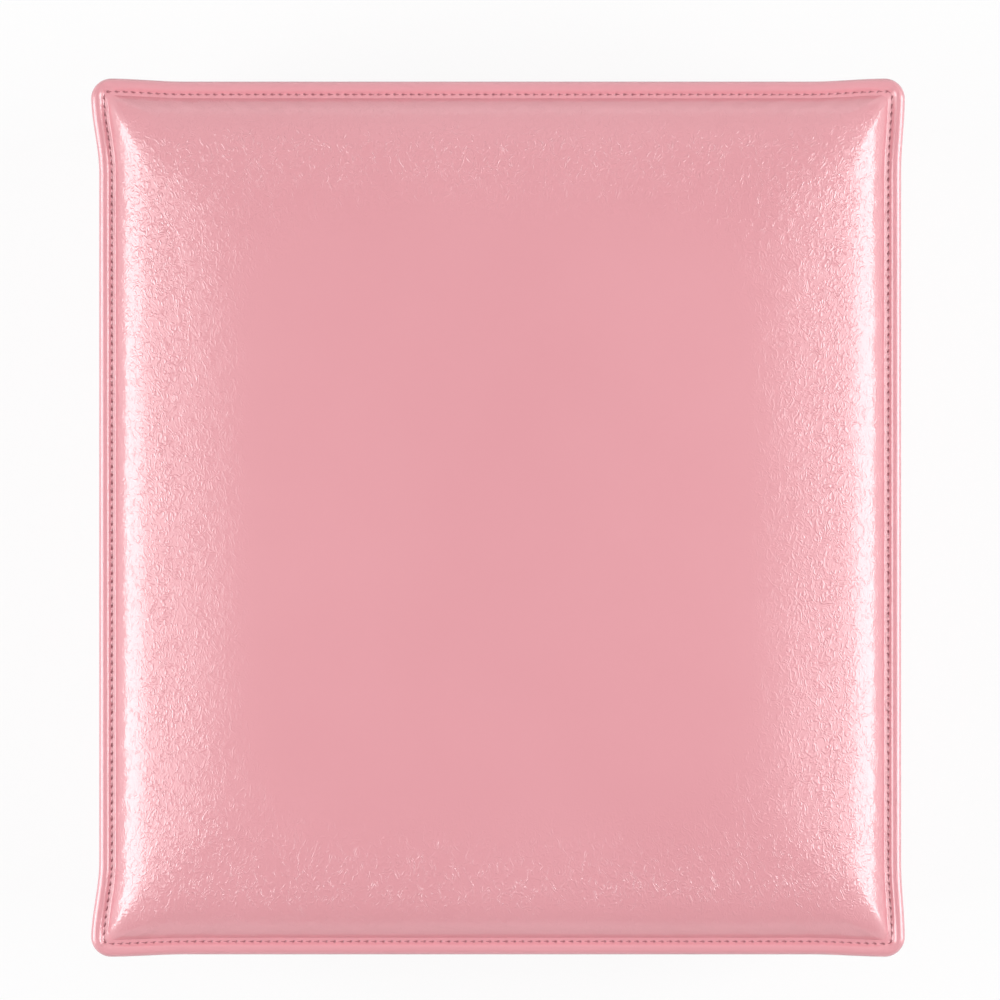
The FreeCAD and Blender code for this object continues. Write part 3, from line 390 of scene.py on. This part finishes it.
def box_outline(half, radius, steps):
    """Rounded rectangles, one for each pair of half sizes and radius: four straight runs, in steps that
    stay put near the middle and close up towards the ends where a side is shorter, and four arcs."""
    half, radius = np.broadcast_arrays(half, np.asarray(radius)[..., None])
    longest = half.max(axis=0) - radius.min(axis=0)
    sides = []
    for number in range(4):
        along = (number + 1) % 2
        reach = half[:, along] - radius[:, 0]
        held = 0.9 * reach.min()
        marks = steps * longest[along]
        beyond = np.abs(marks)[:, None] - held
        run = held + beyond * (reach - held) / (longest[along] - held)
        run = np.sign(marks)[:, None] * np.where(beyond > 0, run, np.abs(marks)[:, None])
        out = np.broadcast_to(half[:, 1 - along], run.shape)
        angle = np.radians(np.linspace(0, 90, 11)[1:-1])[:, None]
        bend_out = half[:, 1 - along] - radius[:, 0] * (1 - np.cos(angle))
        bend_run = reach + radius[:, 0] * np.sin(angle)
        out, run = np.concatenate([out, bend_out]), np.concatenate([run, bend_run])
        turned = [(out, run), (-run, out), (-out, -run), (run, -out)][number]
        sides.append(np.stack(turned, -1))
    return np.concatenate(sides)


def chamfered(points, edge, up):
    """Presses a sheet's back edge onto the plane that slopes away from the hinge line at half the stop
    angle, with a soft turn: a point moves back by the smooth positive part of its height over the plane."""
    facing = np.array([0, np.sin(HALF_STOP), up * np.cos(HALF_STOP)])
    over = (points - np.array([0, HINGE_LINE[0], edge])) @ facing
    press = (over + np.sqrt(over ** 2 + SOFT_TURN ** 2)) / 2
    return points - press[..., None] * facing


def cut_for_hinges(points, faces, edge):
    """Leaves out the faces in the windows for the leaves and in the round mortises for the barrels."""
    centre = points.reshape(-1, 3)[faces].mean(axis=1)
    beside = np.abs(centre[:, 0])
    within = (beside > WINDOWS[0]) & (beside < WINDOWS[1]) & (centre[:, 1] > 0)
    leaf = (centre[:, 1] < HINGE_LINE[0]) & (np.abs(centre[:, 2] - edge) < LEAF_DEPTH)
    barrel = np.linalg.norm(centre[:, 1:] - HINGE_LINE, axis=1) < BARREL
    return faces[~(within & (leaf | barrel))]


def skin(piece):
    """Gives a leather sheet its thickness, inwards from its outer face."""
    modifier = piece.modifiers.new("leather thickness", "SOLIDIFY")
    modifier.thickness = LEATHER * MM
    modifier.offset = -1.0


low, high = (np.array(corner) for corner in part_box("base_leather"))
wall = high[:2]
ground = low[2] / MM
WALL_STEPS = np.unique(np.round(np.concatenate([
    np.linspace(-1, 1, 61), np.outer((-1, 1), WINDOWS).ravel() / (wall[0] - WALL_CORNER)]), 6))
wall_leather = leather("pink wall leather", False)
profile = np.concatenate([
    line((TURN_UNDER, ground), (EDGE_ROUND, ground), 6),
    quarter((EDGE_ROUND, ground + EDGE_ROUND), EDGE_ROUND, 270, 180)[:-1],
    line((0, ground + EDGE_ROUND), (0, BASE_TOP - NEAR_EDGE), 8),
    line((0, BASE_TOP - NEAR_EDGE), (0, BASE_TOP - EDGE_ROUND), 10),
    quarter((EDGE_ROUND, BASE_TOP - EDGE_ROUND), EDGE_ROUND, 180, 90)[:-1],
    line((EDGE_ROUND, BASE_TOP), (NEAR_EDGE, BASE_TOP), 14),
    line((NEAR_EDGE, BASE_TOP), (TURN_IN, BASE_TOP), 6),
    [(TURN_IN, BASE_TOP)],
]) * MM
ring = box_outline(wall - profile[:, :1], np.maximum(WALL_CORNER - profile[:, 0], LEAST_CORNER), WALL_STEPS)
points = np.concatenate([ring, np.broadcast_to(profile[:, 1:], ring.shape[:2] + (1,))], -1)
points = chamfered(points, BASE_TOP * MM, 1)
faces = cut_for_hinges(points, grid_faces(*points.shape[:2], True), BASE_TOP * MM)
skin(new_piece("pink_leather_base", points, [faces], wall_leather, "pink_leather", "base", "base_leather"))


# Wall leather of the lid: a second strip round the lid's boards, turned in at the parting line. At the
# top it turns outwards as the flange to which the padded top is sewn.
bottom, seam = 52.6, 75.8
FLARE = 1.6
FLANGE_INSET = 0.5 * MM
RIM_HALF = np.array([120.0, 129.5]) * MM
RIM_CORNER = 6.0 * MM
DRAW_IN = {"left": 2.4 * MM, "right": 1.1 * MM, "back": 0.9 * MM, "front": 0.7 * MM}


def drawn_in(points):
    """Pulls the sides of the sewn panel in between its corners, as the tight seam does: across each side
    by a depth of its own, which fades out smoothly over the last 28 to 5 mm before the corner."""
    x, y = points[..., 0], points[..., 1]
    fade = [np.clip((half - np.abs(place) - 5 * MM) / (23 * MM), 0, 1)
            for half, place in zip(RIM_HALF, (x, y))]
    across, along = (share * share * (3 - 2 * share) for share in fade)
    side = np.where(x < 0, DRAW_IN["left"], DRAW_IN["right"])
    end = np.where(y < 0, DRAW_IN["front"], DRAW_IN["back"])
    moved = points.copy()
    moved[..., 0] = x * (1 - side * along / RIM_HALF[0])
    moved[..., 1] = y * (1 - end * across / RIM_HALF[1])
    return moved


flare_foot = seam - LEATHER - FLARE
profile = np.concatenate([
    line((TURN_IN, bottom), (NEAR_EDGE, bottom), 6),
    line((NEAR_EDGE, bottom), (EDGE_ROUND, bottom), 14),
    quarter((EDGE_ROUND, bottom + EDGE_ROUND), EDGE_ROUND, 270, 180)[:-1],
    line((0, bottom + EDGE_ROUND), (0, bottom + NEAR_EDGE), 10),
    line((0, bottom + NEAR_EDGE), (0, flare_foot), 6),
    quarter((-FLARE, flare_foot), FLARE, 0, 90),
]) * MM
ring = box_outline(wall - profile[:, :1], np.maximum(WALL_CORNER - profile[:, 0], LEAST_CORNER), WALL_STEPS)
points = np.concatenate([ring, np.broadcast_to(profile[:, 1:], ring.shape[:2] + (1,))], -1)
flange = np.linspace(0.2, 1, 6)[None, :, None]
edge = np.concatenate([box_outline((RIM_HALF - FLANGE_INSET)[None], [RIM_CORNER], WALL_STEPS),
                       np.full((len(points), 1, 1), (seam - LEATHER) * MM)], -1)
points = np.concatenate([points, points[:, -1:] + flange * (drawn_in(edge) - points[:, -1:])], 1)
points = chamfered(points, bottom * MM, -1)
faces = cut_for_hinges(points, grid_faces(*points.shape[:2], True), bottom * MM)
skin(new_piece("pink_leather_lid_walls", points, [faces], wall_leather, "pink_leather", "lid", "lid_leather"))


# Padded top: one leather panel over a foam sheet, sewn down to the flange all round. The edge is a rolled
# bead; inside it the seam pulls the leather into a channel, and from there the foam lifts it into a broad
# crown that is steep at its foot and nearly level in the middle.
BEAD_WIDTH, BEAD_HEIGHT = 1.55, 3.0
CHANNEL_START, CHANNEL_DEPTH = 1.3, 1.05
FOOT_INSET, FOOT_HEIGHT, FOOT_FADE = 5.0, 2.1, 6.0
CROWN_RISES = ((5.2, 5.0), (4.8, 42.0))
PANEL_MIDDLE = 119.9
PANEL_STEPS = np.linspace(-1, 1, 190)
UNDERSIDE_POINTS, EDGE_POINTS = 8, 20
SWELL, PUCKER = 0.07, 0.1
CALM_INSET, CALM_FADE = 112.0, 30.0
CLOTH_CELL, CLOTH_STEPS, CLOTH_PRESSURE = 3.5, 20, 4.0
MOST_LIFT, SOFT_LIFT = 1.6 * MM, 0.5 * MM
STITCH_PITCH = 2.42 * MM


def crown_rise(run):
    """Rise of the crown in millimetres at a run from its foot: two rises that level off exponentially, a
    short steep one at the foot of the foam and a long gentle one over its middle."""
    return sum(share * (1 - np.exp(-run / reach)) for share, reach in CROWN_RISES)


def panel_profile():
    """Insets and heights in millimetres from the middle of the underside round the bead and over the crown:
    a half ellipse for the bead, a raised cosine down into the channel, a straight run to the foot of the
    foam, and the crown's rise from there to the middle."""
    under = np.array([[60.0, 0.0], [8.0, 0.0]])
    turn = np.radians(np.linspace(-100, 80, 13))
    bead = np.stack([BEAD_WIDTH * (1 - np.cos(turn)), BEAD_HEIGHT / 2 * (1 + np.sin(turn))], -1)
    bead[0, 1] = bead[1, 1] = 0.0
    dip = np.linspace(0, 1, 15)[1:]
    fall = CHANNEL_DEPTH * (0.5 - 0.5 * np.cos(np.pi * dip ** 2.2))
    channel = np.stack([CHANNEL_START + dip * (STITCH_INSET - CHANNEL_START), BEAD_HEIGHT - fall], -1)
    sewn = np.linspace((STITCH_INSET, BEAD_HEIGHT - CHANNEL_DEPTH), (FOOT_INSET, FOOT_HEIGHT), 7)[1:-1]
    run = (PANEL_MIDDLE - FOOT_INSET) * np.linspace(0, 1, 60) ** 2
    crown = np.stack([FOOT_INSET + run, FOOT_HEIGHT + crown_rise(run)], -1)
    return np.concatenate([under, bead, channel, sewn, crown])


def panel_corner(inset):
    """Corner radius in millimetres of the panel's outline at an inset: it tightens from the rolled edge to
    the sharp corner of the seam, and opens again up the crown."""
    places = [0.0, STITCH_INSET, FOOT_INSET, 9.0, 14.0, 30.0, 67.0, PANEL_MIDDLE]
    return np.interp(inset, places, [6.0, 1.3, 2.4, 6.0, 11.0, 26.0, 48.0, 0.05])


def even_outline(half, radius):
    """Rounded rectangles with evenly spread points on each side, whatever the side's length."""
    sides = []
    angle = np.radians(np.linspace(0, 90, 13)[1:-1])[:, None]
    for number in range(4):
        along = (number + 1) % 2
        reach = half[:, along] - radius
        run = PANEL_STEPS[:, None] * reach
        out = np.broadcast_to(half[:, 1 - along], run.shape)
        out = np.concatenate([out, half[:, 1 - along] - radius * (1 - np.cos(angle))])
        run = np.concatenate([run, reach + radius * np.sin(angle)])
        turned = [(out, run), (-run, out), (-out, -run), (run, -out)][number]
        sides.append(np.stack(turned, -1))
    return np.concatenate(sides)


def panel_rings(inset):
    """Outlines of the panel in plan, at insets in millimetres: rounded rectangles, drawn in at the sides."""
    half = np.maximum(RIM_HALF - np.asarray(inset)[:, None] * MM, 0.1 * MM)
    radius = np.minimum(panel_corner(inset) * MM, 0.98 * half.min(axis=1))
    return drawn_in(even_outline(half, radius))


def stuffed(points, faces, sewn):
    """How far a slack cover lifts over its padding as cloth: pressure under it, no gravity, its sewn points
    held, for twenty steps. The foam lets no point sink, so that only the smooth positive part of its rise
    counts, and that is shortened so that it never reaches the most allowed."""
    slack = new_object("slack cover", points, [faces])
    slack.vertex_groups.new(name="sewn").add(sewn.tolist(), 1.0, "REPLACE")
    cloth = slack.modifiers.new("cloth", "CLOTH")
    cloth.settings.vertex_group_mass = "sewn"
    cloth.settings.use_pressure = True
    cloth.settings.uniform_pressure_force = CLOTH_PRESSURE
    cloth.settings.effector_weights.gravity = 0.0
    cloth.point_cache.frame_end = CLOTH_STEPS
    for step in range(1, CLOTH_STEPS + 1):
        bpy.context.scene.frame_set(step)
    swollen = slack.evaluated_get(bpy.context.evaluated_depsgraph_get()).data
    ends = np.empty(3 * len(points))
    swollen.vertices.foreach_get("co", ends)
    bpy.data.objects.remove(slack)
    bpy.context.scene.frame_set(1)
    rise = ends.reshape(-1, 3)[:, 2] - points[:, 2]
    rise = (rise + np.sqrt(rise ** 2 + SOFT_LIFT ** 2)) / 2
    return rise * MOST_LIFT / (MOST_LIFT + rise)


profile = panel_profile()
plan = panel_rings(profile[:, 0])
x, y = plan[..., 0] / MM, plan[..., 1] / MM
rows, columns = x.shape
height = np.broadcast_to(profile[:, 1], x.shape).copy()
upper = np.arange(columns) > EDGE_POINTS
padded = np.clip((profile[:, 0] - FOOT_INSET) / FOOT_FADE, 0, 1) * upper

# Slow waves over the foam, which die out towards the middle, and small puckers along its foot.
soft = padded * np.clip((CALM_INSET - profile[:, 0]) / CALM_FADE, 0, 1)
wave = np.sin(x / 13 + 1.3 * np.sin(y / 31)) * np.cos(y / 17 + 0.8) + 0.6 * np.sin(y / 9 + x / 24 + 2)
height += SWELL * soft * wave
rim = plan[:, EDGE_POINTS]
around = np.cumsum(np.linalg.norm(np.diff(rim, axis=0, append=rim[:1]), axis=1)) / MM
gather = np.sin(around / 1.9 + 2 * np.sin(around / 23)) * np.cos(around / 5.3)
foot = np.exp(-((profile[:, 0] - FOOT_INSET - 2.0) / 2.2) ** 2) * upper
height += PUCKER * gather[:, None] * foot

# The slack cover is an even grid over the foam. Its lift is smoothed twice each way, with weights of one, two
# and one, and then read between the grid's points, in proportion to the way to each.
foot_half = RIM_HALF / MM - FOOT_INSET
cells = np.round(2 * foot_half / CLOTH_CELL).astype(int)
lines = (np.linspace(-reach, reach, count + 1) for reach, count in zip(foot_half, cells))
cloth_x, cloth_y = np.meshgrid(*lines, indexing="ij")
run = np.minimum(foot_half[0] - np.abs(cloth_x), foot_half[1] - np.abs(cloth_y))
slack = np.stack([cloth_x, cloth_y, seam + FOOT_HEIGHT + crown_rise(run)], -1) * MM
lift = stuffed(slack.reshape(-1, 3), grid_faces(*(cells + 1), False), np.flatnonzero(run < 0.01))
lift = lift.reshape(run.shape) / MM
for _ in range(4):
    edged = np.pad(lift, ((1, 1), (0, 0)), mode="edge")
    lift = ((edged[:-2] + 2 * lift + edged[2:]) / 4).T
spot_x, spot_y = (np.clip((place + reach) / (2 * reach) * count, 0, count - 1e-6)
                  for place, reach, count in zip((x, y), foot_half, cells))
cell_x, cell_y = spot_x.astype(int), spot_y.astype(int)
past_x, past_y = spot_x % 1, spot_y % 1
near = (1 - past_y) * lift[cell_x, cell_y] + past_y * lift[cell_x, cell_y + 1]
far = (1 - past_y) * lift[cell_x + 1, cell_y] + past_y * lift[cell_x + 1, cell_y + 1]
height += ((1 - past_x) * near + past_x * far) * padded

# The middle of the underside and of the crown are closed by fans of triangles.
points = np.stack([x, y, height + seam], -1) * MM
caps = np.array([[0, 0, seam], [0, 0, height[:, -1].mean() + seam]]) * MM
first = np.arange(rows) * columns
after = np.roll(first, -1)
hub = np.full(rows, rows * columns)
fans = np.concatenate([np.stack([hub, after, first], -1),
                       np.stack([hub + 1, first + columns - 1, after + columns - 1], -1)])
points = np.concatenate([points.reshape(-1, 3), caps])
cover_leather = leather("pink top leather", True)
cover = new_piece("pink_leather_padded_top", points, [grid_faces(rows, columns, True), fans], cover_leather,
                  "pink_leather", "lid", "lid_cover", "lid_pad")

# The UV map: stitches counted along the seam, and millimetres in from the edge.
stitch_ring = panel_rings(np.array([STITCH_INSET]))[:, 0]
step_length = np.linalg.norm(np.roll(stitch_ring, -1, 0) - stitch_ring, axis=1)
stitch_count = round(step_length.sum() / STITCH_PITCH)
travel = np.concatenate([[0], np.cumsum(step_length)]) / step_length.sum() * stitch_count
inset = np.where(np.arange(columns) > UNDERSIDE_POINTS, profile[:, 0], -1.0)
row = np.repeat(np.arange(rows), columns - 1)
column = np.tile(np.arange(columns - 1), rows)
u = np.stack([travel[row], travel[row + 1], travel[row + 1], travel[row]], -1)
v = np.stack([inset[column], inset[column], inset[column + 1], inset[column + 1]], -1)
seam_map = np.concatenate([np.stack([u, v], -1).reshape(-1), np.tile([0.0, 60.0], 3 * len(fans))])
cover.data.uv_layers.new(name="seam").data.foreach_set("uv", seam_map)
cover.data.update()


# Stitching: a row of lockstitch in bonded thread, about 2.4 mm to the stitch, holds the padded top to its
# flange, and a row round each wall holds the turned-over edges. Each stitch lies on the leather and dips
# into its needle holes at both ends.
SEAM_THREAD, WALL_THREAD = 0.3 * MM, 0.5 * MM
SEAM_SHARE, WALL_SHARE = 0.66, 0.72
THREAD_REST = 1.97
WALL_ROWS = {"base": 45.0, "lid": 60.0}

# Bonded polyester thread, pink like the leather but drawn a darker rose: painted shade for the shadow of the
# seam's groove. It is slightly shiny, with the twist of its plies as fine ridges.
thread, tree, shader = new_material("bonded polyester thread", Roughness=0.5)
place = add_node(tree, "ShaderNodeTexCoord").outputs["Object"]
ply = add_node(tree, "ShaderNodeTexNoise", {"Vector": place, "Scale": 1 / (0.4 * MM)}).outputs["Fac"]
ridge = add_node(tree, "ShaderNodeMapRange", {"Value": ply, "From Min": 0.35, "From Max": 0.65})
tint = add_node(tree, "ShaderNodeMix", {"Factor": ridge.outputs["Result"], "A": linear("#a15c66"),
                                        "B": linear("#c28089")}, data_type="RGBA")
tree.links.new(tint.outputs["Result"], shader.inputs["Base Color"])
bump = add_node(tree, "ShaderNodeBump", {"Height": ply, "Strength": 0.4, "Distance": 0.1 * MM})
tree.links.new(bump.outputs["Normal"], shader.inputs["Normal"])


def stitches(path, outward, length, thickness):
    """A row of stitches: short six-sided tubes along a closed path. Each follows the path over its share of
    the pitch, arched outwards like half a sine so that its ends dip into the leather, and it tapers to its
    ends with the root of that sine."""
    closed, away = np.concatenate([path, path[:1]]), np.concatenate([outward, outward[:1]])
    gone = np.concatenate([[0], np.cumsum(np.linalg.norm(np.diff(closed, axis=0), axis=1))])
    count = round(gone[-1] / STITCH_PITCH)
    share = np.linspace(0, 1, 6)
    spot = (np.arange(count)[:, None] + 0.5 + (share - 0.5) * length) * gone[-1] / count
    middle = np.stack([np.interp(spot, gone, closed[:, axis]) for axis in range(3)], -1)
    away = np.stack([np.interp(spot, gone, away[:, axis]) for axis in range(3)], -1)
    onward = np.gradient(middle, axis=1)
    onward /= np.linalg.norm(onward, axis=-1, keepdims=True)
    beside = np.cross(onward, away)
    arch = np.sin(np.pi * share)
    radius = thickness / 2 * (0.45 + 0.55 * arch ** 0.5)
    sides = 6
    angle = np.linspace(0, 2 * np.pi, sides + 1)[:-1]
    sideways = radius[:, None] * np.cos(angle)
    proud = thickness * (0.5 * arch[:, None] - 0.4) + 0.8 * radius[:, None] * np.sin(angle)
    points = (middle[:, :, None] + beside[:, :, None] * sideways[None, :, :, None]
              + away[:, :, None] * proud[None, :, :, None])
    ring, side = np.arange(len(share) - 1)[:, None] * sides, np.arange(sides)[None, :]
    after, onto = (side + 1) % sides, ring + sides
    tube = np.stack(np.broadcast_arrays(ring + side, onto + side, onto + after, ring + after), -1)
    end = np.array([[0, 1, 2, 3], [3, 4, 5, 0]])
    one = np.concatenate([tube.reshape(-1, 4), end, end[:, ::-1] + sides * (len(share) - 1)])
    faces = one[None] + np.arange(count)[:, None, None] * (sides * len(share))
    return points, faces.reshape(-1, 4)


path = np.pad(stitch_ring, [(0, 0), (0, 1)], constant_values=(seam + THREAD_REST) * MM)
points, faces = stitches(path, np.broadcast_to([0.0, 0.0, 1.0], path.shape), SEAM_SHARE, SEAM_THREAD)
new_piece("rose_thread_seam", points, [faces], thread, "pink_leather", "lid")

for part, level in WALL_ROWS.items():
    ring = box_outline(wall[None], [WALL_CORNER], WALL_STEPS)[:, 0]
    onward = np.roll(ring, -1, 0) - np.roll(ring, 1, 0)
    outward = np.stack([onward[:, 1], -onward[:, 0], 0 * onward[:, 0]], -1)
    outward /= np.linalg.norm(outward, axis=1, keepdims=True)
    path = np.pad(ring, [(0, 0), (0, 1)], constant_values=level * MM)
    points, faces = stitches(path, outward, WALL_SHARE, WALL_THREAD)
    new_piece(f"rose_thread_{part}_wall", points, [faces], thread, "pink_leather", part)


# The stage: a white floor, just below the felt, inside a round white backdrop, and the camera straight above
# the lid. Broad lamps at both sides draw the bright strips along the seams, a steeper one beside each widens
# them, and two more light the back and, faintly, the front.
FLOOR = 4.0
FLOOR_DROP = 0.1 * MM
BACKDROP_RADIUS, BACKDROP_HEIGHT, BACKDROP_SIDES = 0.95 * FLOOR, 2.4, 72
VIEW_WIDTH = 0.2952
VIEW_CENTRE = (0.6 * MM, 5.2 * MM)
CAMERA_RISE = 1.4

# White paper: to the camera, in reflections and through glass, nine tenths of it are pure white and one tenth
# is its own shading, which keeps a faint shadow. To all other light it is a matt white surface.
white, tree, shader = new_material("white floor", Roughness=1.0, Base_Color=linear("#f2f2f2"))
sight = add_node(tree, "ShaderNodeLightPath")
seen = add_node(tree, "ShaderNodeMath", {0: sight.outputs["Is Camera Ray"],
                                         1: sight.outputs["Is Glossy Ray"]}, operation="MAXIMUM")
seen = add_node(tree, "ShaderNodeMath", {0: seen.outputs["Value"], 1: sight.outputs["Is Transmission Ray"]},
                operation="MAXIMUM")
share = add_node(tree, "ShaderNodeMath", {0: seen.outputs["Value"], 1: 0.9}, operation="MULTIPLY")
paper = add_node(tree, "ShaderNodeEmission", {"Color": (1, 1, 1, 1), "Strength": 1.0})
cover_all = add_node(tree, "ShaderNodeMixShader", {0: share.outputs["Value"], 1: shader.outputs["BSDF"],
                                                   2: paper.outputs["Emission"]})
tree.links.new(cover_all.outputs["Shader"], tree.nodes["Material Output"].inputs["Surface"])

corners = np.array([[-1, -1, 0], [1, -1, 0], [1, 1, 0], [-1, 1, 0]]) * FLOOR - [0, 0, FLOOR_DROP]
floor = new_object("floor", corners, [np.array([[0, 1, 2, 3]])])
turn = np.linspace(0, 2 * np.pi, BACKDROP_SIDES + 1)[:-1, None]
x, y, z = np.broadcast_arrays(BACKDROP_RADIUS * np.cos(turn), BACKDROP_RADIUS * np.sin(turn),
                              np.array([[0.0, BACKDROP_HEIGHT]]))
faces = grid_faces(BACKDROP_SIDES, 2, True)[:, ::-1]
backdrop = new_object("backdrop", np.stack([x, y, z], -1), [faces])
finish([floor, backdrop], white)

world = bpy.data.worlds.new("studio")
world.use_nodes = True
bpy.context.scene.world = world
sky = world.node_tree.nodes["Background"]
sky.inputs["Strength"].default_value = 0.22
sky.inputs["Color"].default_value = (1, 1, 1, 1)


def strip_light(name, lean, turn, distance, size, power):
    """A rectangular lamp that faces the lid from a lean off the vertical and a turn round it, in degrees."""
    lamp = bpy.data.lights.new(name, "AREA")
    lamp.shape = "RECTANGLE"
    lamp.size, lamp.size_y = size
    lamp.energy = power
    holder = bpy.data.objects.new(name, lamp)
    bpy.context.collection.objects.link(holder)
    lean, turn = math.radians(lean), math.radians(turn)
    out = (math.sin(lean) * math.cos(turn), math.sin(lean) * math.sin(turn), math.cos(lean))
    holder.location = [distance * part for part in out]
    holder.location.z += seam * MM
    holder.rotation_euler = (0, lean, turn)


strip_light("left strip", 57, 185, 1.0, (0.6, 0.55), 5.7)
strip_light("right strip", 55, 0, 1.0, (0.6, 0.6), 6.2)
strip_light("left fill", 31, 184, 1.1, (0.35, 0.6), 1.4)
strip_light("right fill", 31, 0, 1.1, (0.35, 0.6), 1.4)
strip_light("back strip", 50, 90, 1.3, (1.1, 1.2), 1.7)
strip_light("front strip", 50, 270, 1.3, (1.1, 1.2), 0.2)

camera = bpy.data.objects.new("camera", bpy.data.cameras.new("camera"))
bpy.context.collection.objects.link(camera)
camera.data.sensor_width = 36.0
camera.data.lens = camera.data.sensor_width * CAMERA_RISE / VIEW_WIDTH
camera.location = (*VIEW_CENTRE, seam * MM + CAMERA_RISE)
bpy.context.scene.camera = camera
bpy.context.scene.view_settings.view_transform = "Standard"
